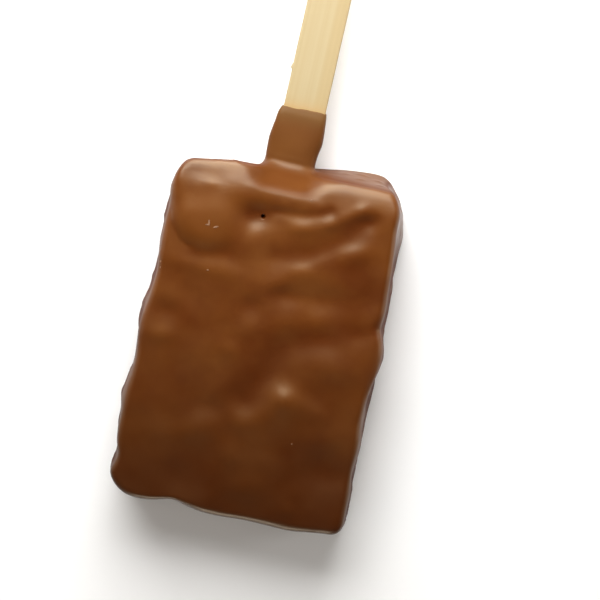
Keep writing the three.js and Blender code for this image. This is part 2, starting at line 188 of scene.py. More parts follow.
@dataclass(frozen=True)
class MilkChocolate:
    """Set milk chocolate: satin, faintly clouded, with a skin that isn't quite smooth.

    It has painted shade, darker towards the bar's bottom end, and is paler as a film on the wood.
    """

    dark: Colour = (0.078, 0.0144, 0.0007, 1.0)
    light: Colour = (0.114, 0.0305, 0.0036, 1.0)
    # The colour of the painted shade towards the bar's bottom end.
    thick: Colour = (0.041, 0.0072, 0.0003, 1.0)
    film: Colour = (0.106, 0.0450, 0.0125, 1.0)
    sheen: Colour = (1.0, 0.80, 0.38, 1.0)
    cloud_scale: float = 75.0
    cloud_span: Span = (0.32, 0.68)
    # Where along Y the painted shade towards the bottom end comes in, and its greatest share.
    low_shade_span: Span = (0.010, -0.042)
    low_shade_share: float = 0.97
    satin: Span = (0.40, 0.50)
    satin_scale: float = 130.0
    satin_span: Span = (0.3, 0.7)
    skin_scale: float = 620.0
    skin_height: float = 0.02
    ior: float = 1.46
    gloss: float = 0.34
    gloss_roughness: float = 0.28
    levels: Span = (0.05, 0.5)
    dullness: float = 0.2

    def material(self) -> Material:
        """Builds the material.

        Returns:
            The finished material.
        """
        surface = Surface("milk_chocolate_coat")
        place, shine = surface.place, surface.stored("shine")
        clouds = surface.noise(place, self.cloud_scale, detail=3.0)
        # Painted light on the front's lumps, painted shade in its hollows, the stick's foot and sides.
        clouds_and_shading = surface.added(clouds, surface.stored("painted_light_and_shade"))
        tone = surface.blend(surface.spread(clouds_and_shading, self.cloud_span, WHOLE), self.dark, self.light)
        # Painted shade: the colour darkens towards the bar's bottom end.
        low = surface.spread(surface.axis(place, "Y"), self.low_shade_span, (0.0, self.low_shade_share))
        bare = surface.blend(low, tone, self.thick)
        patches = surface.noise(place, self.satin_scale, detail=2.0)
        satin = surface.spread(patches, self.satin_span, self.satin)
        skin = surface.noise(place, self.skin_scale, detail=2.0)
        return surface.finished(
            {
                "Base Color": surface.blend(surface.stored("over_wood"), bare, self.film),
                "Roughness": surface.added(satin, surface.spread(shine, WHOLE, (self.dullness, 0.0))),
                "Normal": surface.bumped(skin, self.skin_height),
                "IOR": self.ior,
                "Specular Tint": self.sheen,
                "Specular IOR Level": surface.spread(shine, WHOLE, self.levels),
                "Coat Weight": surface.spread(shine, WHOLE, (0.0, self.gloss)),
                "Coat Roughness": self.gloss_roughness,
            }
        )


@dataclass(frozen=True)
class PaleFlake:
    """A thin chip of paler chocolate, duller than the coat that it sticks to."""

    thin: Colour = (0.16, 0.07, 0.028, 1.0)
    thick: Colour = (0.24, 0.12, 0.055, 1.0)
    mottle_scale: float = 1400.0
    mottle_span: Span = (0.35, 0.65)
    roughness: float = 0.6

    def material(self) -> Material:
        """Builds the material.

        Returns:
            The finished material.
        """
        surface = Surface("pale_chocolate_flake")
        mottle = surface.noise(surface.place, self.mottle_scale, detail=2.0)
        colour = surface.blend(surface.spread(mottle, self.mottle_span, WHOLE), self.thin, self.thick)
        return surface.finished({"Base Color": colour, "Roughness": self.roughness})


@dataclass(frozen=True)
class PaleWood:
    """Pale straight-grained wood, planed smooth, with a stain of fat beside the coating."""

    light: Colour = (0.38, 0.30, 0.162, 1.0)
    dark: Colour = (0.355, 0.27, 0.131, 1.0)
    right_side: Colour = (0.372, 0.279, 0.137, 1.0)
    fat_stain: Colour = (0.39, 0.24, 0.087, 1.0)
    grain_scale: Triple = (900.0, 14.0, 900.0)
    grain_span: Span = (0.35, 0.75)
    grain_share: float = 0.75
    grain_height: float = 0.03
    board_edge: Span = (0.0018, 0.0026)
    roughness: Span = (0.55, 0.7)
    roughness_span: Span = (0.3, 0.7)

    def material(self) -> Material:
        """Builds the material.

        Returns:
            The finished material.
        """
        surface = Surface("pale_straight_wood")
        along = surface.moved(surface.place, Location=[-size * MM for size in STICK_ORIGIN])
        turned = surface.moved(along, Rotation=(0.0, 0.0, STICK_TILT))
        grain = surface.noise(surface.moved(turned, Scale=self.grain_scale), scale=1.0, detail=4.0)
        side = surface.spread(surface.axis(turned, "X"), self.board_edge, WHOLE)
        tone = surface.blend(side, self.light, self.right_side)
        fibres = surface.spread(grain, self.grain_span, (0.0, self.grain_share))
        wood = surface.blend(fibres, tone, self.dark)
        return surface.finished(
            {
                "Base Color": surface.blend(surface.stored("from_coat"), wood, self.fat_stain),
                "Roughness": surface.spread(grain, self.roughness_span, self.roughness),
                "Normal": surface.bumped(grain, self.grain_height),
            }
        )


@dataclass(frozen=True)
class PaleFloor:
    """A smooth white table top with a faint unevenness."""

    colour: Colour = (0.90, 0.90, 0.89, 1.0)
    roughness: Span = (0.5, 0.6)
    patch_scale: float = 9.0
    patch_span: Span = (0.3, 0.7)

    def material(self) -> Material:
        """Builds the material.

        Returns:
            The finished material.
        """
        surface = Surface("pale_table")
        patches = surface.noise(surface.place, self.patch_scale, detail=3.0)
        roughness = surface.spread(patches, self.patch_span, self.roughness)
        return surface.finished({"Base Color": self.colour, "Roughness": roughness})


def add_object(name: str, data: bpy.types.ID) -> Object:
    """Puts a mesh, a light or a camera into the scene, at the origin.

    Args:
        name: The object's name.
        data: The mesh, light or camera.

    Returns:
        The new object.
    """
    data.name = name
    made = bpy.data.objects.new(name, data)
    bpy.context.scene.collection.objects.link(made)
    return made


def plain_result(source: Object) -> Mesh:
    """The mesh that an object's modifiers make, as a plain mesh. The object goes.

    Args:
        source: The object with its modifiers.

    Returns:
        The new mesh.
    """
    ready = source.evaluated_get(bpy.context.evaluated_depsgraph_get())
    mesh = bpy.data.meshes.new_from_object(ready)
    bpy.data.objects.remove(source)
    return mesh


def squares(rows: list[list], closed: bool = False) -> list[tuple]:
    """The squares between neighbouring rows of corners.

    Args:
        rows: The rows, all with the same number of corners.
        closed: True if each row goes round to where it starts.

    Returns:
        Each square's corners, along the lower row and back along the upper one.
    """
    rows = [[*row, row[0]] for row in rows] if closed else rows
    made = []
    for lower, upper in zip(rows, rows[1:]):
        made += zip(lower, lower[1:], upper[1:], upper)
    return made


def close(shape: BMesh, mesh: Mesh) -> Mesh:
    """Writes an edited shape to a mesh and frees the shape.

    Args:
        shape: The shape.
        mesh: The mesh that it goes to.

    Returns:
        The same mesh.
    """
    shape.to_mesh(mesh)
    shape.free()
    return mesh


def store(mesh: Mesh, name: str, values: Array) -> None:
    """Stores a number, or a row of three, for each corner of a mesh."""
    kind, part = ("FLOAT", "value") if values.ndim == 1 else ("FLOAT_VECTOR", "vector")
    mesh.attributes.new(name, kind, "POINT").data.foreach_set(part, values.ravel())


def dress(mesh: Mesh, finish: Material) -> None:
    """Gives a whole mesh one material and smooth shading.

    Args:
        mesh: The mesh.
        finish: The material.
    """
    mesh.materials.clear()
    mesh.materials.append(finish)
    mesh.polygons.foreach_set("material_index", [0] * len(mesh.polygons))
    mesh.polygons.foreach_set("use_smooth", [True] * len(mesh.polygons))
    mesh.update()


def read_points(mesh: Mesh) -> Array:
    """A mesh's corners in millimetres.

    Args:
        mesh: The mesh.

    Returns:
        The corners, one row each.
    """
    points = np.empty(len(mesh.vertices) * 3)
    mesh.vertices.foreach_get("co", points)
    return points.reshape(-1, 3) / MM


def write_points(mesh: Mesh, points: Array) -> None:
    """Moves a mesh's corners to places given in millimetres."""
    mesh.vertices.foreach_set("co", (points * MM).ravel())
    mesh.update()


def read_normals(mesh: Mesh) -> Array:
    """A mesh's normals at its corners.

    Args:
        mesh: The mesh.

    Returns:
        The normals, one row each.
    """
    normals = np.empty(len(mesh.vertices) * 3)
    mesh.vertex_normals.foreach_get("vector", normals)
    return normals.reshape(-1, 3)


class Scatter(Wiring):
    """A new tree of Geometry Nodes that sets small pieces on points, and its wiring."""

    def __init__(self, name: str, kinds: dict[str, str]) -> None:
        """Starts the tree, with a geometry and some named values as its inputs.

        Args:
            name: The tree's name.
            kinds: The values' kinds, by name.
        """
        super().__init__(bpy.data.node_groups.new(name, "GeometryNodeTree"))
        sockets = self.tree.interface
        sockets.new_socket("Geometry", in_out="INPUT", socket_type="NodeSocketGeometry")
        self.identifiers = {}
        for value, kind in kinds.items():
            made = sockets.new_socket(value, in_out="INPUT", socket_type="NodeSocket" + kind)
            self.identifiers[value] = made.identifier
        sockets.new_socket("Geometry", in_out="OUTPUT", socket_type="NodeSocketGeometry")
        self.given = self.node("NodeGroupInput").outputs

    def held(self, name: str, kind: str) -> Socket:
        """A value of some kind that each point holds, by its name."""
        made = self.node("GeometryNodeInputNamedAttribute", {"Name": name}, data_type=kind)
        return made.outputs["Attribute"]

    def drawn(self, low: object, high: object, kind: str) -> Socket:
        """A random value of some kind for each point.

        Args:
            low: The least value.
            high: The greatest value.
            kind: The kind of the value.

        Returns:
            The value's socket.
        """
        limits = {"Min": low, "Max": high, "Seed": self.given["Seed"]}
        made = self.node("FunctionNodeRandomValue", limits, data_type=kind)
        return next(socket for socket in made.outputs if socket.enabled)

    def spun(self, rotation: Socket, angle: Socket) -> Socket:
        """A rotation turned further about its own Z axis.

        Args:
            rotation: The rotation.
            angle: The further angle.

        Returns:
            The new rotation's socket.
        """
        about = self.node("FunctionNodeAxisAngleToRotation", {"Axis": (0.0, 0.0, 1.0), "Angle": angle})
        turns = {"Rotation": rotation, "Rotate By": about.outputs[0]}
        return self.node("FunctionNodeRotateRotation", turns, rotation_space="LOCAL").outputs[0]

    def lifted(self, geometry: Socket, offset: Socket) -> Socket:
        """A geometry with each of its points moved."""
        return self.node("GeometryNodeSetPosition", {"Geometry": geometry, "Offset": offset}).outputs[0]

    def balls(self, points: Socket, fineness: int, rotation: Socket, size: Socket) -> Socket:
        """A ball on each point, as real geometry.

        Args:
            points: The points.
            fineness: How often the ball's faces are split.
            rotation: Each ball's rotation.
            size: Each ball's half-sizes.

        Returns:
            The balls' socket.
        """
        ball = self.node("GeometryNodeMeshIcoSphere", {"Radius": 1.0, "Subdivisions": fineness})
        inputs = {"Points": points, "Instance": ball.outputs["Mesh"], "Rotation": rotation, "Scale": size}
        placed = self.node("GeometryNodeInstanceOnPoints", inputs).outputs[0]
        return self.node("GeometryNodeRealizeInstances", {"Geometry": placed}).outputs[0]

    def end(self, geometry: Socket, finish: Inputs) -> None:
        """Gives the pieces a material and ends the tree."""
        dressed = self.node("GeometryNodeSetMaterial", {"Geometry": geometry, **finish}).outputs[0]
        self.node("NodeGroupOutput", {"Geometry": dressed})

    def run(self, host: Object, values: dict[str, object]) -> Mesh:
        """Runs the tree on an object, which goes.

        Args:
            host: The object that the pieces are set on.
            values: The values of the tree's inputs, by name.

        Returns:
            The pieces' mesh.
        """
        modifier = host.modifiers.new("scatter", "NODES")
        modifier.node_group = self.tree
        for name, value in values.items():
            modifier[self.identifiers[name]] = value
        return plain_result(host)


def ease(values: Array, low: float, high: float) -> Array:
    """A smooth step from 0 at the low value to 1 at the high one, which may lie below it."""
    share = np.clip((values - low) / (high - low), 0.0, 1.0)
    return share * share * (3.0 - 2.0 * share)


def flowing(at: Array, places: tuple[float, ...], values: tuple[float, ...]) -> Array:
    """Values on a smooth curve through given ones.

    Args:
        at: The places that are asked for.
        places: The places of the given values, in rising order.
        values: The given values.

    Returns:
        The curve's values. Outside the given places it stays level.
    """
    known, height = np.array(places), np.array(values)
    slopes = np.gradient(height, known)
    left = np.clip(np.searchsorted(known, at) - 1, 0, len(known) - 2)
    span = known[left + 1] - known[left]
    t = np.clip((at - known[left]) / span, 0.0, 1.0)
    start = (2 * t**3 - 3 * t**2 + 1) * height[left] + (t**3 - 2 * t**2 + t) * span * slopes[left]
    end = (3 * t**2 - 2 * t**3) * height[left + 1] + (t**3 - t**2) * span * slopes[left + 1]
    return start + end


def to_stick(points: Array) -> Array:
    """Places of the part as (across, height above the bar's end, depth) along the stick."""
    return (points - np.array(STICK_ORIGIN)) @ STICK_TURN


def from_stick(points: Array) -> Array:
    """The reverse of to_stick."""
    return points @ STICK_TURN.T + np.array(STICK_ORIGIN)


class Form(Protocol):
    """A form of the coat's surface."""

    def height_at(self, points: Array) -> Array:
        """How far the form stands out at each place."""


@dataclass(frozen=True)
class Swell:
    """A soft lump of the front face, or a hollow where its rise is negative.

    long and wide are half-sizes, turn is the long side's angle from the X axis in degrees, and
    firm is how sharply it is bounded.
    """

    x: float
    y: float
    long: float
    wide: float
    rise: float
    turn: float = 0.0
    firm: float = 1.0

    def height_at(self, points: Array) -> Array:
        """How far the swell stands out at each place.

        Args:
            points: The places, in millimetres.

        Returns:
            One height for each place.
        """
        angle = math.radians(self.turn)
        dx, dy = points[:, 0] - self.x, points[:, 1] - self.y
        a = (dx * math.cos(angle) + dy * math.sin(angle)) / self.long
        b = (dy * math.cos(angle) - dx * math.sin(angle)) / self.wide
        c = (points[:, 2] - FRONT_Z) / FRONT_DEPTH
        return self.rise * np.exp(-((a * a + b * b + c * c) ** self.firm))


class Edge(Enum):
    """How a fold falls off to its sides."""

    SOFT = "a bell"
    SHARP = "a crease with long shoulders"


@dataclass(frozen=True)
class Fold:
    """A ridge of the front face along a smooth path, or a groove where its rise is negative.

    reach is how far it falls off to its sides, and bluntness is how round a sharp one is.
    """

    path: tuple[Span, ...]
    reach: float
    rise: float
    edge: Edge = Edge.SOFT
    bluntness: float = 0.2

    def course(self, steps: int = 6) -> Array:
        """The path as closely spaced points on a smooth curve through its own points.

        Args:
            steps: The number of points for each stretch of the path.

        Returns:
            The points, one row each.
        """
        ends = np.array([self.path[0], *self.path, self.path[-1]])
        t = np.linspace(0.0, 1.0, steps, endpoint=False)[:, None]
        stretches = []
        for a, b, c, d in zip(ends, ends[1:], ends[2:], ends[3:]):
            stretches.append(
                b + 0.5 * t * (c - a + t * (2 * a - 5 * b + 4 * c - d + t * (3 * (b - c) + d - a)))
            )
        return np.vstack([*stretches, ends[-1:]])

    def height_at(self, points: Array) -> Array:
        """How far the fold stands out at each place.

        Args:
            points: The places, in millimetres.

        Returns:
            One height for each place.
        """
        apart = np.full(len(points), np.inf)
        course = self.course()
        for start, end in zip(course, course[1:]):
            step = end - start
            share = np.clip((points[:, :2] - start) @ step / (step @ step), 0.0, 1.0)[:, None]
            apart = np.minimum(apart, np.linalg.norm(points[:, :2] - start - share * step, axis=1))
        share = apart / self.reach
        sharp = np.sqrt(share**2 + self.bluntness**2) - self.bluntness
        across = share**2 if self.edge is Edge.SOFT else sharp
        deep = ((points[:, 2] - FRONT_Z) / FRONT_DEPTH) ** 2
        return self.rise * np.exp(-across - deep)


# The forms of the front face.
FRONT_FORMS: tuple[Form, ...] = (
    # The pillow over the top left corner, with the crease round it and the fold below it.
    Swell(-17.5, 27.6, 9.2, 7.0, 0.92, firm=1.5),
    Swell(-17.4, 33.4, 8.6, 7.0, 0.35, firm=1.5),
    Fold(((-26.4, 31.0), (-25.4, 27.0), (-22.8, 23.4), (-18.0, 21.6), (-11.5, 22.6)), 2.6, -0.4),
    Fold(((-26.2, 29.6), (-25.0, 26.4), (-22.6, 23.4), (-20.5, 22.2)), 0.8, -0.2, Edge.SHARP),
    Fold(((-26.0, 18.3), (-18.0, 17.9), (-9.0, 17.6)), 2.2, 0.25),
    # The pinhole's dimple, and the drop-shaped swell under it.
    Swell(-6.0, 32.0, 4.4, 3.1, -0.98, turn=8.0),
    Swell(-5.5, 26.8, 1.9, 3.4, 0.14, turn=-10.0),
    # The lip along the stick's end, and the groove behind it.
    Fold(((-23.0, 36.2), (-12.0, 36.4), (-3.0, 36.0), (6.0, 36.0), (12.0, 38.0)), 2.4, 0.08),
    Fold(((-1.5, 34.0), (4.0, 34.2), (8.0, 35.0), (10.5, 36.2)), 1.3, -0.25),
    Swell(-17.5, 37.6, 2.0, 1.0, 0.08),
    Swell(-8.0, 38.8, 2.0, 1.0, 0.08),
    Swell(2.4, 37.3, 1.6, 1.0, 0.1),
    Swell(5.8, 37.5, 1.8, 1.2, 0.1),
    # The upper slanting ridge with its knots.
    Fold(((3.0, 31.0), (6.5, 31.5), (10.5, 32.8), (13.5, 35.0)), 1.6, 0.14),
    Swell(5.4, 31.2, 2.6, 1.4, 0.14, turn=8.0),
    Swell(11.2, 33.3, 2.0, 1.3, 0.18, turn=25.0),
    Swell(14.8, 35.7, 1.8, 1.6, 0.2, turn=40.0),
    Swell(17.6, 37.4, 1.8, 1.5, 0.25, turn=40.0),
    # The deep slanting groove, and the lower ridge with its knots.
    Fold(((0.0, 23.4), (5.0, 24.8), (10.0, 27.0), (15.0, 30.2), (20.0, 34.0)), 2.8, -0.37),
    Swell(20.4, 35.7, 2.8, 1.9, -0.42, turn=30.0),
    Fold(((3.0, 19.6), (8.0, 21.0), (13.0, 24.0), (18.0, 26.8), (22.0, 28.6)), 2.8, 0.14),
    Swell(6.6, 21.2, 3.0, 1.8, 0.22, turn=10.0),
    Swell(10.8, 24.2, 2.4, 1.6, 0.1, turn=30.0),
    Swell(18.2, 27.8, 3.6, 2.2, 0.26, turn=20.0),
    # The soft folds and lumps of the middle.
    Swell(1.4, 17.0, 3.0, 2.0, 0.22, turn=20.0),
    Swell(4.5, 14.8, 4.0, 2.6, -0.4),
    Swell(-18.0, 10.8, 5.0, 3.0, -0.2),
    Fold(((4.0, 10.0), (6.0, 15.0), (10.0, 19.0), (16.0, 20.0)), 3.4, 0.15),
    Swell(12.6, 15.0, 5.4, 3.0, -0.45),
    Swell(12.9, 10.0, 2.3, 2.4, 0.2),
    Swell(-3.4, 11.0, 3.2, 2.4, -0.3),
    Swell(-2.8, 5.6, 3.0, 2.8, 0.25),
    Swell(-23.0, 6.2, 4.0, 2.6, -0.3),
    Swell(-23.6, 0.3, 3.8, 2.2, 0.3),
    Swell(-6.8, -0.2, 3.2, 2.2, 0.2),
    Swell(23.0, 8.4, 3.2, 2.4, -0.3),
    Swell(23.5, 17.5, 3.0, 4.0, -0.3),
    Swell(27.2, 10.7, 2.2, 2.2, -0.5),
    Fold(((15.0, 6.0), (9.0, 3.4), (5.4, -0.6), (2.4, -6.0), (-1.0, -11.5)), 3.8, -0.5),
    Swell(4.0, 7.6, 5.0, 3.4, 0.3, turn=20.0),
    Swell(18.5, -0.6, 8.6, 4.6, 0.6),
    # The dome low on the right, its bright top and its two arms.
    Swell(8.7, -9.3, 4.3, 4.0, 0.7),
    Swell(8.4, -14.0, 5.0, 5.0, 0.35),
    Swell(10.6, -16.4, 9.0, 8.0, 0.3),
    Fold(((-0.5, -17.4), (3.5, -14.2), (7.0, -10.5)), 3.0, 0.3),
    Fold(((9.0, -9.0), (13.5, -10.4), (18.5, -12.4)), 2.2, 0.18),
    # The soft lumps of the lower end.
    Swell(0.2, -17.4, 3.2, 2.6, 0.12),
    Swell(-9.4, -15.0, 3.6, 2.6, -0.25),
    Swell(-11.0, -20.8, 4.8, 3.2, 0.4, turn=20.0),
    Swell(-1.8, -25.4, 3.2, 3.4, 0.35, turn=12.0),
    Swell(6.0, -26.0, 3.4, 2.8, 0.16),
    Swell(-20.0, -23.5, 5.0, 4.4, 0.3),
    Swell(4.0, -32.0, 5.0, 3.4, 0.3),
    Swell(21.5, -26.0, 6.4, 6.0, -0.85),
    Swell(-12.0, -33.0, 7.0, 4.4, -0.4, turn=10.0),
    Swell(14.0, -36.8, 2.2, 1.8, 0.2, turn=-20.0),
)


@dataclass(frozen=True)
class Corner:
    """A corner of the bar, seen from the front, and how much further out its back edge is."""

    front_radius: float
    back_radius: float
    side_flare: float
    end_flare: float


class Side(Enum):
    """A side of the bar, seen from the front: the axis that it lies on, and which way."""

    LEFT = (0, -1)
    RIGHT = (0, 1)
    BOTTOM = (1, -1)
    TOP = (1, 1)


@dataclass(frozen=True)
class Wave:
    """A wave in the bar's outline: its side, its place along it, its height, reach and rise."""

    side: Side
    along: float
    z: float
    reach: float
    rise: float


WAVES = (
    Wave(Side.LEFT, 33.0, 15.0, 10.0, 0.4),
    Wave(Side.LEFT, 14.9, 15.0, 5.0, -0.4),
    Wave(Side.LEFT, 0.9, 15.0, 6.4, 1.2),
    Wave(Side.LEFT, -15.6, 15.0, 5.6, 0.9),
    Wave(Side.LEFT, -24.5, 15.0, 5.5, 0.9),
    Wave(Side.LEFT, -31.0, 15.0, 2.4, -0.5),
    Wave(Side.LEFT, -35.4, 15.0, 2.6, 0.8),
    Wave(Side.RIGHT, 3.0, 15.0, 6.0, 1.6),
    Wave(Side.RIGHT, -11.0, 15.0, 5.0, -0.7),
    Wave(Side.RIGHT, -23.1, 15.0, 3.6, -0.3),
    Wave(Side.BOTTOM, -26.0, 15.0, 4.0, -0.7),
    Wave(Side.BOTTOM, -12.8, 15.0, 4.4, -1.8),
    Wave(Side.BOTTOM, -1.0, 15.0, 5.0, 0.7),
    Wave(Side.BOTTOM, 14.0, 15.0, 7.0, 0.9),
    Wave(Side.TOP, 11.0, 8.0, 12.0, 1.1),
    Wave(Side.TOP, 0.0, 20.0, 34.0, 1.9),
    Wave(Side.TOP, -13.0, 20.0, 8.0, 0.9),
    Wave(Side.TOP, 24.0, 20.0, 8.0, 0.6),
    Wave(Side.TOP, 28.0, 6.0, 7.0, -2.2),
    Wave(Side.RIGHT, 39.0, 6.0, 7.0, -2.4),
    Wave(Side.RIGHT, 38.0, 20.0, 9.0, -0.6),
)


@dataclass(frozen=True)
class Block:
    """The bar's body: the rule and the sizes of the solid, on a finer skin of squares."""

    top_width: float = 53.6
    bottom_width: float = 57.4
    centre_drift: float = 1.4
    front_edge_radius: float = 2.0
    end_edge_radius: float = 0.6
    end_edge: Span = (34.0, 40.0)
    back_edge_radius: float = 2.4
    foot_undercut: float = 1.5
    shoulder_drop: float = 2.6
    shoulder: Span = (36.0, 50.0)
    brink_drop: float = 0.5
    brink: Span = (0.68, 1.2)
    brink_from: Span = (36.0, 39.0)
    neck_drop: float = 5.5
    neck_middle: float = -1.2
    neck_reach: float = 6.8
    neck_power: int = 4
    neck: Span = (38.2, 43.8)
    top_left: Corner = Corner(3.6, 3.6, 1.4, -2.1)
    top_right: Corner = Corner(4.2, 9.5, 1.7, 4.0)
    bottom_left: Corner = Corner(6.4, 6.4, 0.8, 0.8)
    bottom_right: Corner = Corner(3.2, 3.4, 0.7, 0.8)
    wave_depth: float = 9.0
    square: float = 0.7
    seam: float = 0.01

    def half_width_at(self, y: Array | float) -> Array:
        """Half the front face's width at a height y."""
        share = np.clip(np.asarray(y) / BAR_LENGTH + 0.5, 0.0, 1.0)
        return (self.bottom_width + (self.top_width - self.bottom_width) * share) / 2

    def corner_size(self, name: str, across: Array, up: Array) -> Array:
        """One of the corners' sizes, blended between the four corners.

        Args:
            name: The size's name.
            across: Where on the bar, from -1 at the left to 1 at the right.
            up: Where on the bar, from -1 at the bottom to 1 at the top.

        Returns:
            The blended sizes.
        """
        right, high = (across + 1) / 2, (up + 1) / 2
        bottom = getattr(self.bottom_left, name) * (1 - right) + getattr(self.bottom_right, name) * right
        top = getattr(self.top_left, name) * (1 - right) + getattr(self.top_right, name) * right
        return bottom * (1 - high) + top * high

    def wave_heights(self, points: Array) -> Array:
        """How far the waves of the outline stand out at each place.

        Args:
            points: The places, in millimetres.

        Returns:
            The waves of the long sides and those of the two ends, one row for each place.
        """
        total = np.zeros((len(points), 2))
        for wave in WAVES:
            axis, way = wave.side.value
            half_sizes = (float(self.half_width_at(wave.along)), BAR_END)
            middle = np.full(2, wave.along)
            middle[axis] = way * half_sizes[axis]
            apart = (points[:, :2] - middle) / wave.reach
            deep = (points[:, 2] - wave.z) / self.wave_depth
            total[:, axis] += wave.rise * np.exp(-(apart**2).sum(axis=1) - deep**2)
        return total

    def shape(self, cube: Array) -> Array:
        """Turns places on the cube from -1 to 1 into places on the bar.

        Args:
            cube: The places on the cube.

        Returns:
            The places on the bar, in millimetres.
        """
        deepest = -self.foot_undercut
        y = cube[:, 1] * BAR_END
        half = self.half_width_at(y)
        share = (cube[:, 2] + 1) / 2
        x, z = cube[:, 0] * half, deepest + (FRONT_Z - deepest) * share
        front = self.corner_size("front_radius", cube[:, 0], cube[:, 1])
        back = self.corner_size("back_radius", cube[:, 0], cube[:, 1])
        radius = back + (front - back) * share

        # The rounded corners of the outline.
        dx = x - np.clip(x, radius - half, half - radius)
        dy = y - np.clip(y, radius - BAR_END, BAR_END - radius)
        reach = np.maximum(np.abs(dx), np.abs(dy))
        away = np.column_stack([dx, dy]) / np.maximum(np.hypot(dx, dy), TINY)[:, None]

        # The rounded front and back edges.
        eased = self.front_edge_radius - self.end_edge_radius
        front_edge = self.front_edge_radius - eased * ease(y, *self.end_edge)
        edge = np.where(z > FRONT_Z / 2, front_edge, self.back_edge_radius)
        out = np.maximum(reach - radius + edge, 0.0)
        over = np.maximum(z - FRONT_Z + front_edge, 0.0)
        over -= np.maximum(deepest + self.back_edge_radius - z, 0.0)
        fit = np.maximum(out, np.abs(over)) / np.maximum(np.hypot(out, over), TINY)
        flat = np.column_stack([x - dx, y - dy]) + away * (reach + out * (fit - 1))[:, None]
        points = np.column_stack([flat, z + over * (fit - 1)])
        points[:, :2] += away * self.wave_heights(points) * (reach / radius)[:, None]

        # The crown, the drops at the stick's end and the flare of the sides.
        across, up = points[:, 0] / half, points[:, 1] / BAR_END
        sunk = 1.0 - np.clip(points[:, 2] / FRONT_Z, 0.0, 1.0)
        points[:, 2] += CROWN * (1 - sunk) * (1 - across**2) * (1 - up**2)
        drop = self.shoulder_drop * ease(points[:, 1], *self.shoulder)
        by_neck = np.exp(-(((points[:, 0] - self.neck_middle) / self.neck_reach) ** self.neck_power))
        drop += self.neck_drop * by_neck * ease(points[:, 1], *self.neck)
        drop += self.brink_drop * ease(reach / radius, *self.brink) * ease(points[:, 1], *self.brink_from)
        points[:, 2] -= drop * (1 - sunk)
        side_flare = self.corner_size("side_flare", across, up)
        end_flare = self.corner_size("end_flare", across, up)
        points[:, 0] += across * side_flare * sunk + self.centre_drift * up / 2
        points[:, 1] += up * end_flare * sunk
        return points

    def add_to(self, shape: BMesh) -> None:
        """Adds the closed block to a mesh.

        Args:
            shape: The mesh that is added to.
        """
        spans = (self.bottom_width, BAR_LENGTH, BAR_THICKNESS)
        counts = [round(span / self.square) for span in spans]
        corners = []
        for axis in range(3):
            first, second = (axis + 1) % 3, (axis + 2) % 3
            for end in (-1.0, 1.0):
                width = counts[first] + 1
                u, v = np.meshgrid(
                    np.linspace(-end, end, width), np.linspace(-1.0, 1.0, counts[second] + 1)
                )
                cube = np.empty((u.size, 3))
                cube[:, axis], cube[:, first], cube[:, second] = end, u.ravel(), v.ravel()
                placed = [shape.verts.new(point) for point in self.shape(cube) * MM]
                rows = [placed[start : start + width] for start in range(0, len(placed), width)]
                for square in squares(rows):
                    shape.faces.new(square)
                corners += placed
        bmesh.ops.remove_doubles(shape, verts=corners, dist=self.seam * MM)


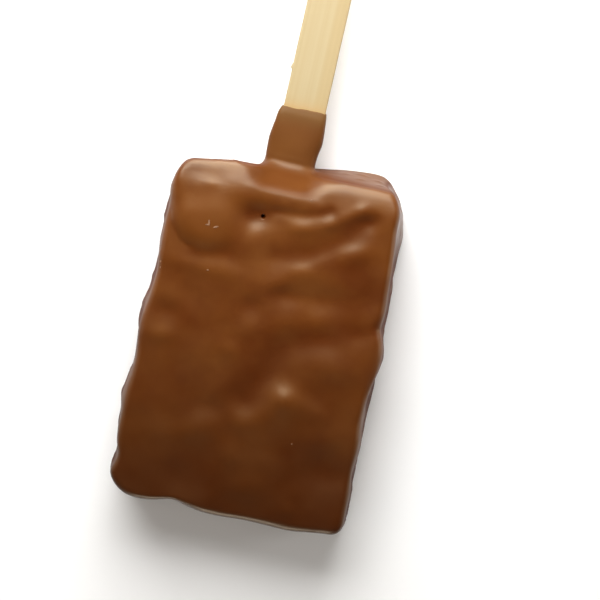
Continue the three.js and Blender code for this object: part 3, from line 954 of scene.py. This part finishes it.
@dataclass(frozen=True)
class Sleeve:
    """The coating's sleeve up the stick: how thick it is on each side of the wood, by height.

    Each of the mouth's waves has a pace, a start and a share. Above squarer_from the section turns
    from the first roundness to the second.
    """

    heights: tuple[float, ...] = (-5.0, -0.6, 0.4, 1.0, 1.8, 2.8, 4.8, 6.8, 8.8, 10.8, 12.8, 14.8, 16.3)
    left: tuple[float, ...] = (3.6, 3.5, 2.9, 2.4, 1.9, 1.67, 1.7, 1.8, 1.75, 1.5, 1.2, 0.9, 0.28)
    right: tuple[float, ...] = (3.0, 2.6, 1.7, 1.1, 0.6, 0.4, 0.35, 0.55, 0.9, 0.85, 0.7, 0.5, 0.28)
    front: tuple[float, ...] = (8.2, 6.6, 5.4, 4.5, 3.0, 2.0, 1.6, 1.5, 1.35, 1.15, 0.9, 0.6, 0.2)
    back: tuple[float, ...] = (5.6, 4.6, 3.4, 2.7, 2.2, 1.8, 1.5, 1.35, 1.2, 1.0, 0.8, 0.5, 0.2)
    mouth: float = 16.3
    mouth_slant: float = 0.036
    mouth_waves: tuple[Triple, ...] = ((0.9, 0.6, 0.6), (1.7, 2.0, 0.4))
    mouth_rise: float = 0.1
    starts: Span = (2.2, 3.8)
    beside: Span = (10.5, 8.5)
    roundness: Span = (2.8, 6.0)
    squarer_from: float = 6.0
    fit_rounds: int = 4
    fit_step: float = 0.5
    least_level: float = 1e-3
    least_slope: float = 1e-6
    rows: int = 40
    sides: int = 48

    def half_sizes(self, s: Array, h: Array, d: Array) -> tuple[Array, ...]:
        """The sleeve's section, on the side of the wood that each place is on.

        Args:
            s: The places across the stick.
            h: Their heights along it.
            d: Their depths through it.

        Returns:
            The section's half-widths, its half-depths and the exponents of its roundness.
        """
        left, right = flowing(h, self.heights, self.left), flowing(h, self.heights, self.right)
        front, back = flowing(h, self.heights, self.front), flowing(h, self.heights, self.back)
        half_width = STICK_WIDTH / 2 + np.where(s > 0, right, left)
        half_depth = STICK_THICKNESS / 2 + np.where(d > 0, front, back)
        low, high = self.roundness
        return half_width, half_depth, low + (high - low) * ease(h, self.squarer_from, self.mouth)

    def add_to(self, shape: BMesh) -> None:
        """Adds the closed sleeve to a mesh, from inside the bar to its mouth.

        Args:
            shape: The mesh that is added to.
        """
        angles = np.linspace(0.0, 2 * math.pi, self.sides, endpoint=False)
        cos, sin = np.cos(angles), np.sin(angles)
        rings = []
        for height in np.linspace(self.heights[0], self.mouth, self.rows):
            level = np.full_like(angles, height)
            half_width, half_depth, square = self.half_sizes(cos, level, sin)
            across = np.sign(cos) * np.abs(cos) ** (2 / square) * half_width
            deep = np.sign(sin) * np.abs(sin) ** (2 / square) * half_depth
            places = from_stick(np.column_stack([across, level, deep]))
            rings.append([shape.verts.new(place) for place in places * MM])
        for a, b, c, d in squares(rings, closed=True):
            shape.faces.new([b, a, d, c])
        shape.faces.new(rings[0])
        shape.faces.new(reversed(rings[-1]))

    def mouth_at(self, across: Array) -> Array:
        """The height of the sleeve's mouth, which is a little slanted and wavy, by place across."""
        wave = sum(np.sin(across * pace + start) * share for pace, start, share in self.mouth_waves)
        return self.mouth + self.mouth_slant * across + self.mouth_rise * wave

    def depth_in(self, local: Array) -> tuple[Array, Array]:
        """How deep places lie under the sleeve's surface, and the way out.

        Args:
            local: Places along the stick.

        Returns:
            The depths, negative outside, and the unit directions towards the surface.
        """
        s, h, d = local.T
        half_width, half_depth, n = self.half_sizes(s, h, d)
        u, v = np.abs(s) / half_width, np.abs(d) / half_depth
        level = np.maximum((u**n + v**n) ** (1.0 / n), self.least_level)
        slope_s = np.sign(s) * (u / level) ** (n - 1) / half_width
        slope_d = np.sign(d) * (v / level) ** (n - 1) / half_depth
        steepness = np.maximum(np.hypot(slope_s, slope_d), self.least_slope)
        outwards = np.stack([slope_s / steepness, np.zeros_like(s), slope_d / steepness], axis=1)
        return (1.0 - level) / steepness, outwards

    def fit(self, points: Array) -> Array:
        """Brings the sleeve's skin to its thicknesses, with a crisp mouth.

        Args:
            points: The coat's corners, in millimetres.

        Returns:
            The fitted corners.
        """
        local = to_stick(points)
        weight = ease(local[:, 1], *self.starts) * ease(np.abs(local[:, 0]), *self.beside)
        chosen = weight > 0
        part, share = local[chosen], weight[chosen, None]
        for _ in range(self.fit_rounds):
            depth, outwards = self.depth_in(part)
            under = self.mouth_at(part[:, 0]) - part[:, 1]
            wall = under > np.maximum(depth, 0.0)
            step = np.clip(depth, -self.fit_step, self.fit_step)
            part = np.where(wall[:, None], part + outwards * step[:, None], part)
            part[:, 1] = np.where(wall, part[:, 1], self.mouth_at(part[:, 0]))
        local[chosen] += (part - local[chosen]) * share
        return from_stick(local)


@dataclass(frozen=True)
class Pit:
    """The pinhole that an air bubble left in the front face.

    wall is how far from its middle its wall starts and ends, reach is how far round it the surface
    is made finer, and above is the share of the bar's height over which the front part starts.
    """

    x: float = -4.6
    y: float = 32.1
    wall: Span = (0.625, 0.225)
    depth: float = 1.6
    reach: float = 2.0
    above: float = 0.5

    def apart(self, points: Array) -> Array:
        """How far each place is from the pit's middle, seen from the front."""
        return np.hypot(points[:, 0] - self.x, points[:, 1] - self.y)

    def on_front(self, points: Array) -> Array:
        """Which places are in the front part of the bar."""
        return points[:, 2] > self.above * FRONT_Z

    def near(self, points: Array) -> Array:
        """Which places on the front are so near that the pit needs a finer surface there."""
        return self.on_front(points) & (self.apart(points) < self.reach)

    def sink(self, points: Array) -> Array:
        """Pushes the pit into the surface.

        Args:
            points: The coat's corners, in millimetres.

        Returns:
            The moved corners.
        """
        deep = self.depth * ease(self.apart(points), *self.wall)
        points[:, 2] -= np.where(self.on_front(points), deep, 0.0)
        return points


@dataclass
class CoatedBar:
    """The bar under its coat, with the sleeve up the stick.

    Crisps are pushed into the block's skin from below. Block, crisps and sleeve are melted into one
    surface, which flows smooth as the warm coat did, and the forms of the front face follow.
    """

    finish: MilkChocolate = field(default_factory=MilkChocolate)
    block: Block = field(default_factory=Block)
    sleeve: Sleeve = field(default_factory=Sleeve)
    pit: Pit = field(default_factory=Pit)
    relief: float = 1.25

    # The crisps under the coat.
    crisp_gap: float = 4.6
    crisp_density: float = 250000.0
    crisp_least: Triple = (2.4, 1.6, 1.2)
    crisp_most: Triple = (3.6, 2.4, 1.2)
    crisp_proud: float = 0.25
    crisp_seed: int = 7
    crisp_lowest: float = 4.0
    crisp_highest: float = 15.5
    crisp_fineness: int = 2

    # How the warm coat flows, and where it flows for longer or less.
    voxel: float = 0.43
    flow_rounds: int = 30
    flow_in: float = 0.5
    flow_out: float = -0.513
    neck_rounds: int = 50
    neck_from: Span = (-4.5, -2.0)
    neck_to: Span = (5.0, 3.0)
    neck_across: Span = (13.0, 9.0)
    neck_deep: Span = (10.5, 8.5)
    stiffness: float = 0.9
    stiff_z: Span = (13.0, 16.0)
    stiff_y: Span = (36.0, 39.0)
    fine_margins: Span = (1.6, 1.0)

    # The soft unevenness, as pairs of pace and rise, and where it is weak.
    undulations: tuple[Span, ...] = ((0.09, 0.9), (0.2, 0.4))
    front_share: float = 0.3
    front_z: Span = (FRONT_Z - 3.0, FRONT_Z - 1.0)
    end_y: Span = (38.0, 41.0)
    end_z: Span = (8.0, 12.0)
    level_sleeve: Span = (1.0, -3.0)

    # Painted light and shade on forms, sides and the pool at the stick's foot; the film, and the shine.
    form_shading: float = 0.24
    pool_shading: float = 0.25
    side_shading: float = 0.3
    side_tilt: Span = (0.42, 0.15)
    side_top: Span = (4.0, 2.5)
    corner_from: Span = (24.0, 34.0)
    corner_tilt: Span = (0.6, 0.9)
    pool_middle: float = -0.8
    pool_across: Span = (10.0, 4.5)
    pool_foot: Span = (-5.2, -0.8)
    pool_top: Span = (4.0, 1.0)
    sleeve_foot: Span = (1.0, 4.0)
    thin_mouth: Span = (11.0, 16.0)
    film_shares: Span = (0.4, 0.6)
    side_dullness: float = 0.88
    sleeve_dullness: float = 0.62

    def build(self) -> Object:
        """Builds the coated bar and gives it its finish.

        Returns:
            The finished object.
        """
        mesh = self.melted()
        points = self.smoothed(mesh, read_points(mesh))
        write_points(mesh, points)
        points += read_normals(mesh) * (self.forms_at(points) + self.undulating(points))[:, None]
        write_points(mesh, points)
        self.refine(mesh)
        points = self.pit.sink(self.sleeve.fit(read_points(mesh)))
        points[:, 2] = np.maximum(points[:, 2], 0.0)
        write_points(mesh, points)
        self.tone(mesh, points, read_normals(mesh))
        dress(mesh, self.finish.material())
        return add_object("chocolate_coat", mesh)

    def forms_at(self, points: Array) -> Array:
        """How high the forms of the front face stand at each place, in millimetres."""
        return self.relief * sum(form.height_at(points) for form in FRONT_FORMS)

    def tone(self, mesh: Mesh, points: Array, normals: Array) -> None:
        """Notes on the coat where wood shows through it, where it shines, and its painted light and shade.

        Args:
            mesh: The coat.
            points: Its corners, in millimetres.
            normals: Its normals there.
        """
        local = to_stick(points)
        height = local[:, 1]
        pool, sleeve = self.pool_at(local), ease(height, *self.sleeve_foot)
        side = ease(normals[:, 2], *self.side_tilt) * ease(height, *self.side_top)
        # Painted light on the front's lumps; painted shade in its hollows, the pool and the sides.
        painted_light_and_shade = self.form_shading * self.forms_at(points) - self.pool_shading * pool - self.side_shading * side
        store(mesh, "painted_light_and_shade", painted_light_and_shade)
        low, high = self.film_shares
        store(mesh, "over_wood", low * (pool + sleeve) + high * ease(height, *self.thin_mouth))
        side *= 1.0 - ease(points[:, 1], *self.corner_from) * ease(normals[:, 0], *self.corner_tilt)
        dull = np.maximum.reduce([pool, self.side_dullness * side, self.sleeve_dullness * sleeve])
        store(mesh, "shine", 1.0 - dull)

    def pool_at(self, local: Array) -> Array:
        """How much a place lies in the pool of coat at the stick's foot, from 0 to 1.

        Args:
            local: The coat's corners along the stick.

        Returns:
            One share for each corner.
        """
        height = local[:, 1]
        inside = ease(np.abs(local[:, 0] - self.pool_middle), *self.pool_across)
        return ease(height, *self.pool_foot) * ease(height, *self.pool_top) * inside

    def undulating(self, points: Array) -> Array:
        """The soft unevenness of the coat.

        It is weak on the front and on the stick's end, and the sleeve has none, because they have
        forms of their own.

        Args:
            points: The places, in millimetres.

        Returns:
            One height for each place.
        """
        height = np.zeros(len(points))
        for pace, rise in self.undulations:
            height += rise * np.array([noise.noise(Vector(point) * pace) for point in points])
        on_end = ease(points[:, 1], *self.end_y) * ease(points[:, 2], *self.end_z)
        calm = np.maximum(ease(points[:, 2], *self.front_z), on_end)
        share = 1.0 + (self.front_share - 1.0) * calm
        return height * share * ease(to_stick(points)[:, 1], *self.level_sleeve)

    def crisps(self) -> Mesh:
        """The crisps that lie just under the coat, scattered over the sides.

        Returns:
            The crisps' mesh.
        """
        values = {
            "Gap": ("Float", self.crisp_gap * MM),
            "Density": ("Float", self.crisp_density),
            "Least Half Size": ("Vector", [size * MM for size in self.crisp_least]),
            "Most Half Size": ("Vector", [size * MM for size in self.crisp_most]),
            "Proud": ("Float", self.crisp_proud * MM),
            "Lowest": ("Float", self.crisp_lowest * MM),
            "Highest": ("Float", self.crisp_highest * MM),
            "Seed": ("Int", self.crisp_seed),
        }
        tree = Scatter("crisps_under_coat", {name: kind for name, (kind, _) in values.items()})
        given = tree.given
        level = tree.axis(tree.node("GeometryNodeInputPosition").outputs[0], "Z")
        over = tree.node("FunctionNodeCompare", {0: level, 1: given["Lowest"]}, operation="GREATER_THAN")
        under = tree.node("FunctionNodeCompare", {0: level, 1: given["Highest"]}, operation="LESS_THAN")
        both = {0: over.outputs[0], 1: under.outputs[0]}
        inputs = {
            "Mesh": given["Geometry"],
            "Selection": tree.node("FunctionNodeBooleanMath", both, operation="AND").outputs[0],
            "Distance Min": given["Gap"],
            "Density Max": given["Density"],
            "Seed": given["Seed"],
        }
        spots = tree.node(
            "GeometryNodeDistributePointsOnFaces", inputs, distribute_method="POISSON"
        ).outputs
        limits = {0: given["Proud"], 1: tree.axis(given["Least Half Size"], "Z")}
        inwards = tree.node("ShaderNodeMath", limits, operation="SUBTRACT").outputs[0]
        step = tree.node("ShaderNodeVectorMath", {0: spots["Normal"], "Scale": inwards}, operation="SCALE")
        sunk = tree.lifted(spots["Points"], step.outputs[0])
        turned = tree.spun(spots["Rotation"], tree.drawn(0.0, math.pi, "FLOAT"))
        size = tree.drawn(given["Least Half Size"], given["Most Half Size"], "FLOAT_VECTOR")
        tree.end(tree.balls(sunk, self.crisp_fineness, turned, size), {})

        shape = bmesh.new()
        self.block.add_to(shape)
        host = add_object("bare_block", close(shape, bpy.data.meshes.new("bare_block")))
        return tree.run(host, {name: value for name, (_, value) in values.items()})

    def melted(self) -> Mesh:
        """The block, the crisps and the sleeve, melted into one skin.

        Returns:
            The skin's mesh.
        """
        shape = bmesh.new()
        self.block.add_to(shape)
        self.sleeve.add_to(shape)
        shape.from_mesh(self.crisps())
        host = add_object("unmelted_coat", close(shape, bpy.data.meshes.new("unmelted_coat")))
        melt = host.modifiers.new("melt", "REMESH")
        melt.mode = "VOXEL"
        melt.voxel_size = self.voxel * MM
        melt.use_smooth_shade = True
        return plain_result(host)

    def smoothed(self, mesh: Mesh, points: Array) -> Array:
        """Lets the skin flow until its forms are soft, for longer where the sleeve meets the bar.

        Args:
            mesh: The skin, for its edges.
            points: Its corners, in millimetres.

        Returns:
            The smoothed corners.
        """
        edges = np.empty(len(mesh.edges) * 2, dtype=np.int64)
        mesh.edges.foreach_get("vertices", edges)
        start, end = edges.reshape(-1, 2).T
        count = len(points)
        degree = np.bincount(start, minlength=count) + np.bincount(end, minlength=count)
        local = to_stick(points)
        neck = ease(local[:, 1], *self.neck_from) * ease(local[:, 1], *self.neck_to)
        neck *= ease(np.abs(local[:, 0]), *self.neck_across)
        neck *= ease(np.abs(local[:, 2]), *self.neck_deep)
        stiff = ease(points[:, 2], *self.stiff_z) * ease(points[:, 1], *self.stiff_y)
        loose = 1.0 - self.stiffness * stiff
        shares = [self.flow_in * loose, self.flow_out * loose] * self.flow_rounds
        shares += [self.flow_in * neck] * self.neck_rounds
        for share in shares:
            for axis in range(3):
                value = points[:, axis]
                total = np.bincount(start, value[end], count) + np.bincount(end, value[start], count)
                points[:, axis] = value + share * (total / degree - value)
        return points

    def refine(self, mesh: Mesh) -> None:
        """Splits the faces round the pit and at the sleeve's mouth, where the forms are small.

        Args:
            mesh: The coat's mesh, which is changed.
        """
        shape = bmesh.new()
        shape.from_mesh(mesh)
        for margin in self.fine_margins:
            centres = np.array([face.calc_center_median() for face in shape.faces]) / MM
            near = self.pit.near(centres) | (to_stick(centres)[:, 1] > self.sleeve.mouth - margin)
            edges = {edge for face, chosen in zip(shape.faces, near) if chosen for edge in face.edges}
            bmesh.ops.subdivide_edges(shape, edges=list(edges), cuts=1, use_grid_fill=True)
        close(shape, mesh)


@dataclass
class FlatStick:
    """The flat wooden stick with round ends and eased edges."""

    finish: PaleWood = field(default_factory=PaleWood)
    rows: int = 230
    columns: int = 20
    edge_radius: float = 0.35
    edge_steps: int = 4
    waviness: float = 0.05
    bend_pace: float = 0.11
    bend_plane: float = 3.0
    swell_pace: Span = (0.15, 0.07)
    swell_plane: float = 9.0
    burr_height: float = 25.6
    burr_reach: float = 0.5
    burr_length: float = 0.45
    burr_edge: Span = (-4.2, -4.8)
    stain_height: float = 16.3
    stain_reach: float = 1.3
    stain_most: float = 0.85

    def outline(self, inset: float) -> Array:
        """The right half of the stick's outline, from its lower tip to its upper one.

        Args:
            inset: How far inside the true outline it lies.

        Returns:
            The points (across, height), one row each.
        """
        radius = STICK_WIDTH / 2 - inset
        low = -STICK_INSERTED + STICK_WIDTH / 2
        high = STICK_LENGTH - STICK_INSERTED - STICK_WIDTH / 2
        arc = radius * math.pi / 2
        travel = np.linspace(0.0, 2 * arc + high - low, self.rows + 1)
        turned = np.clip(travel, 0.0, arc) / radius
        turned_top = np.clip(travel - arc - (high - low), 0.0, arc) / radius
        rise = np.clip(travel - arc, 0.0, high - low)
        across = radius * np.sin(turned) * np.cos(turned_top)
        height = low - radius * np.cos(turned) + rise + radius * np.sin(turned_top)
        return np.stack([across, height], axis=1)

    def loops(self) -> list[Array]:
        """The closed loops round the stick's edge, from the front face to the back face.

        Returns:
            The loops as places (across, height, depth) along the stick.
        """
        upper = []
        for angle in np.linspace(0.0, math.pi / 2, self.edge_steps + 1):
            inset = self.edge_radius * (1 - math.sin(angle))
            upper.append((inset, STICK_THICKNESS / 2 - self.edge_radius * (1 - math.cos(angle))))
        profile = upper + [(inset, -depth) for inset, depth in reversed(upper)]
        made = []
        for inset, depth in profile:
            right = self.outline(inset)
            loop = np.vstack([right, right[-2:0:-1] * np.array([-1.0, 1.0])])
            made.append(np.column_stack([loop, np.full(len(loop), depth)]))
        return made

    def build(self) -> Object:
        """Builds the stick and gives it its finish.

        Returns:
            The finished object.
        """
        loops = self.loops()
        points = list(np.vstack(loops))
        rings = np.arange(len(points)).reshape(len(loops), -1).tolist()
        faces = [(a, d, c, b) for a, b, c, d in squares(rings, closed=True)]
        faces += self.face_grid(points, rings[0])
        faces += [tuple(reversed(face)) for face in self.face_grid(points, rings[-1])]
        local = self.weathered(np.array(points))
        mesh = bpy.data.meshes.new("wooden_stick")
        mesh.from_pydata((from_stick(local) * MM).tolist(), [], faces)
        shape = bmesh.new()
        shape.from_mesh(mesh)
        bmesh.ops.recalc_face_normals(shape, faces=shape.faces)
        store(close(shape, mesh), "from_coat", self.stain_at(local))
        dress(mesh, self.finish.material())
        return add_object("wooden_stick", mesh)

    def face_grid(self, points: list[Array], ring: list[int]) -> list[tuple[int, ...]]:
        """Fills one of the flat faces with rows of squares from its left edge to its right one.

        Args:
            points: All corners so far, to which the face's inner ones are added.
            ring: The numbers of the corners round the face, from its lower tip.

        Returns:
            The faces, as corner numbers.
        """
        rows = []
        for left, right in zip(ring[:0:-1], ring[1 : self.rows]):
            row = [left]
            for share in np.linspace(0.0, 1.0, self.columns + 1)[1:-1]:
                row.append(len(points))
                points.append(points[left] * (1 - share) + points[right] * share)
            rows.append([*row, right])
        lower_tip = [(ring[0], b, a) for a, b in zip(rows[0], rows[0][1:])]
        upper_tip = [(a, b, ring[self.rows]) for a, b in zip(rows[-1], rows[-1][1:])]
        return [*lower_tip, *squares(rows), *upper_tip]

    def weathered(self, local: Array) -> Array:
        """Adds the wood's slight waviness and the burr on its left edge.

        Args:
            local: The corners along the stick.

        Returns:
            The moved corners.
        """
        moved = local.copy()
        for i, (s, h, _) in enumerate(local):
            bend = Vector((0.0, h * self.bend_pace, self.bend_plane))
            swell = Vector((s * self.swell_pace[0], h * self.swell_pace[1], self.swell_plane))
            moved[i, 0] += self.waviness * noise.noise(bend)
            moved[i, 2] += self.waviness * noise.noise(swell)
        at_burr = np.exp(-(((local[:, 1] - self.burr_height) / self.burr_reach) ** 2))
        moved[:, 0] -= self.burr_length * at_burr * ease(local[:, 0], *self.burr_edge)
        return moved

    def stain_at(self, local: Array) -> Array:
        """How much fat the wood has drawn from the coating at each corner, from 0 to 1."""
        over = local[:, 1] - self.stain_height
        return np.exp(-np.maximum(over, 0.0) / self.stain_reach) * self.stain_most


@dataclass(frozen=True)
class Fleck:
    """A chip on the front face: its place, its half-sizes and its turn in degrees."""

    x: float
    y: float
    long: float
    wide: float
    high: float
    turn: float


FLECKS = (
    Fleck(-16.6, 28.7, 0.7, 0.2, 0.08, 100.0),
    Fleck(-16.9, 28.2, 0.5, 0.2, 0.08, 10.0),
    Fleck(-14.9, 28.0, 0.7, 0.18, 0.08, 25.0),
    Fleck(-15.0, 17.5, 0.3, 0.15, 0.06, 10.0),
    Fleck(-26.3, 17.2, 0.35, 0.2, 0.08, 60.0),
    Fleck(-26.1, 15.8, 0.25, 0.15, 0.08, 100.0),
    Fleck(12.0, -20.0, 0.2, 0.15, 0.06, 0.0),
    Fleck(5.8, 38.1, 0.25, 0.2, 0.06, 0.0),
)


@dataclass
class FleckScatter:
    """The pale chips that stick to the coat."""

    finish: PaleFlake = field(default_factory=PaleFlake)
    sunk: float = 0.2
    fineness: int = 3
    raggedness: float = 0.06
    seed: int = 3

    def build(self, coat: Object) -> Object:
        """Sets a chip on the coat at each place.

        Args:
            coat: The coat that the chips lie on.

        Returns:
            The chips, as one object.
        """
        ground = BVHTree.FromObject(coat, bpy.context.evaluated_depsgraph_get())
        spots, facings = [], []
        for fleck in FLECKS:
            above = Vector((fleck.x, fleck.y, 2 * FRONT_Z)) * MM
            place, facing, _, _ = ground.ray_cast(above, Vector((0.0, 0.0, -1.0)))
            spots.append(place - facing * fleck.high * self.sunk * MM)
            facings.append(facing)
        mesh = bpy.data.meshes.new("fleck_spots")
        mesh.from_pydata(spots, [], [])
        store(mesh, "facing", np.array(facings))
        sizes = [(fleck.long, fleck.wide, fleck.high) for fleck in FLECKS]
        store(mesh, "half_size", np.array(sizes) * MM)
        store(mesh, "turn", np.radians([fleck.turn for fleck in FLECKS]))
        shift = [self.raggedness * MM] * 3
        values = {"Finish": self.finish.material(), "Ragged": shift, "Seed": self.seed}
        made = self.tree().run(add_object("fleck_spots", mesh), values)
        return add_object("chocolate_flecks", made)

    def tree(self) -> Scatter:
        """The tree that sets a ragged chip on each point.

        Returns:
            The tree.
        """
        tree = Scatter("flecks_on_coat", {"Finish": "Material", "Ragged": "Vector", "Seed": "Int"})
        facing = {"Vector": tree.held("facing", "FLOAT_VECTOR")}
        upright = tree.node("FunctionNodeAlignRotationToVector", facing, axis="Z").outputs[0]
        turned = tree.spun(upright, tree.held("turn", "FLOAT"))
        size = tree.held("half_size", "FLOAT_VECTOR")
        chips = tree.balls(tree.given["Geometry"], self.fineness, turned, size)
        most = tree.given["Ragged"]
        least = tree.node("ShaderNodeVectorMath", {0: most, "Scale": -1.0}, operation="SCALE").outputs[0]
        shift = tree.drawn(least, most, "FLOAT_VECTOR")
        tree.end(tree.lifted(chips, shift), {"Material": tree.given["Finish"]})
        return tree


@dataclass(frozen=True)
class PhotoCamera:
    """The camera at the photograph's viewing angle. The pixels are those of a 600 pixel picture."""

    picture: float = 600.0
    span: float = 141.18
    distance: float = 500.0
    pitch: float = 11.3
    roll: float = 10.8
    target: Triple = (0.0, 0.9, 21.0)
    target_pixel: Span = (258.0, 350.0)
    sensor: float = 36.0
    nearest: float = 0.01

    def build(self) -> Object:
        """Makes the camera and looks through it.

        Returns:
            The camera object.
        """
        pitch, roll = math.radians(self.pitch), math.radians(self.roll)
        towards = Vector((0.0, math.sin(pitch), math.cos(pitch)))
        level_up = Vector((0.0, math.cos(pitch), -math.sin(pitch)))
        level_right = Vector((1.0, 0.0, 0.0))
        up = level_up * math.cos(roll) - level_right * math.sin(roll)
        right = level_right * math.cos(roll) + level_up * math.sin(roll)
        middle = self.picture / 2
        pixel = self.span / self.picture
        centre = Vector(self.target)
        centre += right * (middle - self.target_pixel[0]) * pixel
        centre += up * (self.target_pixel[1] - middle) * pixel

        lens = bpy.data.cameras.new("photo_camera")
        lens.sensor_width = self.sensor
        lens.lens = self.sensor * self.distance / self.span
        lens.clip_start = self.nearest
        made = add_object("photo_camera", lens)
        turn = Matrix((right, up, towards)).transposed().to_4x4()
        made.matrix_world = Matrix.Translation((centre + towards * self.distance) * MM) @ turn
        bpy.context.scene.camera = made
        return made


@dataclass(frozen=True)
class SoftBox:
    """A square soft light, by its direction from the pop in degrees and its distance in metres."""

    name: str
    turn: float
    lift: float
    distance: float
    size: float
    power: float
    colour: Triple = (1.0, 1.0, 1.0)

    def build(self) -> Object:
        """Makes the light, turned towards the pop.

        Returns:
            The light object.
        """
        turn, lift = math.radians(self.turn), math.radians(self.lift)
        away = Vector((math.cos(lift) * math.cos(turn), math.cos(lift) * math.sin(turn), math.sin(lift)))
        lamp = bpy.data.lights.new(self.name, "AREA")
        lamp.shape = "SQUARE"
        lamp.size = self.size
        lamp.energy = self.power
        lamp.color = self.colour
        made = add_object(self.name, lamp)
        facing = away.to_track_quat("Z", "Y").to_matrix().to_4x4()
        made.matrix_world = Matrix.Translation(away * self.distance) @ facing
        return made


@dataclass
class Studio:
    """The pale table and the soft light round the pop."""

    floor_size: float = 3.0
    floor_finish: PaleFloor = field(default_factory=PaleFloor)
    surround: float = 0.2
    lights: tuple[SoftBox, ...] = (
        SoftBox("key", 104.0, 35.0, 0.36, 0.32, 3.25),
        SoftBox("left_fill", 180.0, 16.0, 1.0, 0.6, 1.6, (1.0, 0.82, 0.64)),
        SoftBox("right_fill", 0.0, 16.0, 1.0, 0.25, 1.6, (1.0, 0.86, 0.72)),
        SoftBox("near_fill", 270.0, 16.0, 1.0, 0.3, 2.4, (1.0, 0.9, 0.8)),
        SoftBox("far_fill", 92.0, 16.0, 0.8, 0.2, 1.5),
        SoftBox("corner_fill", 26.0, 18.0, 0.8, 0.2, 1.1),
    )

    def build(self) -> Object:
        """Makes the floor, the surroundings and the lights.

        Returns:
            The floor object.
        """
        world = bpy.data.worlds.new("studio")
        bpy.context.scene.world = world
        world.use_nodes = True
        background = world.node_tree.nodes["Background"].inputs
        background["Color"].default_value = (1.0, 1.0, 1.0, 1.0)
        background["Strength"].default_value = self.surround
        world.cycles_visibility.glossy = False
        for light in self.lights:
            light.build()
        mesh = bpy.data.meshes.new("table_top")
        half = self.floor_size / 2
        corners = [(-half, -half, 0.0), (half, -half, 0.0), (half, half, 0.0), (-half, half, 0.0)]
        mesh.from_pydata(corners, [], [(0, 1, 2, 3)])
        mesh.materials.append(self.floor_finish.material())
        return add_object("table_top", mesh)


def report(piece: Object) -> None:
    """Logs a finished piece and the number of its faces."""
    LOG.info("%s: %d faces", piece.name, len(piece.data.polygons))


def main() -> None:
    """Builds the pop, the studio and the camera."""
    logging.basicConfig(level=logging.INFO, format="%(name)s: %(message)s")
    bpy.context.scene.view_settings.view_transform = "Standard"

    coat = CoatedBar().build()
    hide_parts("coated_bar")
    stick = FlatStick().build()
    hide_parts("stick")
    flecks = FleckScatter().build(coat)
    for piece in (coat, stick, flecks):
        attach(piece, "root")
        report(piece)

    Studio().build()
    PhotoCamera().build()


if __name__ == "__main__":
    main()
